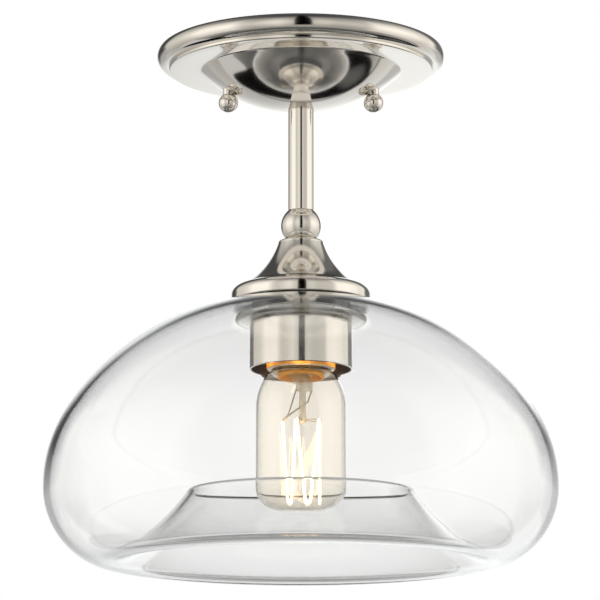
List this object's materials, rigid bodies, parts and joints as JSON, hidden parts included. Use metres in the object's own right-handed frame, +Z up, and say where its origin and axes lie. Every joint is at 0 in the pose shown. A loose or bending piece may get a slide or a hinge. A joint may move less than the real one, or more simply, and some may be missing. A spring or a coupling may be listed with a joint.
{
  "type": "semi flush ceiling light",
  "caption": "Semi flush ceiling light: stepped polished canopy, ball stem, bell holder, clear turned-in glass shade, screw socket and tubular filament bulb.",
  "frame": {"origin": "centre of the canopy in the ceiling plane", "axes": "+Z up into the ceiling, the light hangs towards -Z; +X along the mounting strap to the right ball knob; -Y faces the viewer of the picture"},
  "size_m": [0.2516, 0.2516, 0.2593],
  "materials": {
    "polished_nickel": "polished",
    "steel": "zinc plated",
    "green_screw": "green",
    "dark_gasket": "matte",
    "clear_glass": "clear",
    "clear_rubber": "translucent",
    "white_ceramic": "glazed",
    "white_plastic": "gloss",
    "brass": "bright",
    "black_wire": "matte",
    "white_wire": "matte",
    "solder": "satin",
    "dark_insulator": "gloss",
    "bulb_glass": "clear, warm",
    "stem_glass": "clear",
    "nickel_wire": "wire",
    "filament": "glowing"
  },
  "bodies": {
    "fixture": {"mounting_strap": "steel", "canopy_studs": "steel", "stud_locknuts": "steel", "ground_washer": "steel", "ground_screw": "green_screw", "canopy": "polished_nickel", "canopy_lock_washer": "steel", "canopy_nut": "steel", "threaded_pipe": "steel", "stem_tube": "polished_nickel", "ball_spacer": "polished_nickel", "bell_holder": "polished_nickel", "bell_nut": "steel", "gasket_top": "dark_gasket", "glass_shade": "clear_glass", "clear_gasket": "clear_rubber", "socket_cup": "polished_nickel", "socket_cap": "white_ceramic", "socket_body": "white_ceramic", "screw_shell": "brass", "centre_contact": "brass", "lead_wire_live": "black_wire", "lead_wire_neutral": "white_wire"},
    "left_knob": {"ball_knob_left": "polished_nickel"},
    "right_knob": {"ball_knob_right": "polished_nickel"},
    "ring": {"shade_ring": "white_plastic"},
    "bulb_thread": {"bulb_tip": "solder", "bulb_insulator": "dark_insulator"},
    "bulb": {"bulb_base": "brass", "bulb_glass": "bulb_glass", "bulb_stem": "stem_glass", "bulb_lead_wires": "nickel_wire", "bulb_supports": "nickel_wire", "bulb_filament": "filament"}
  },
  "joints": [
    {"name": "ball_knob_left_turn", "type": "hinge", "parent": "fixture", "child": "left_knob", "pos_m": [-0.03615, 0, -0.0279], "axis": [0, 0, -1], "continuous": true},
    {"name": "ball_knob_right_turn", "type": "hinge", "parent": "fixture", "child": "right_knob", "pos_m": [0.03615, 0, -0.0279], "axis": [0, 0, -1], "continuous": true},
    {"name": "shade_ring_turn", "type": "hinge", "parent": "fixture", "child": "ring", "pos_m": [0, 0, -0.1418], "axis": [0, 0, -1], "continuous": true},
    {"name": "bulb_advance", "type": "slide", "parent": "fixture", "child": "bulb_thread", "axis": [0, 0, -1], "range_m": [0, 0.0218]},
    {"name": "bulb_turn", "type": "hinge", "parent": "bulb_thread", "child": "bulb", "pos_m": [0, 0, -0.1454], "axis": [0, 0, -1], "range_deg": [0, 2160]}
  ],
  "couplings": [
    {"joint": "bulb_advance", "follows": "bulb_turn", "m_per_rad": 0.00057757}
  ]
}
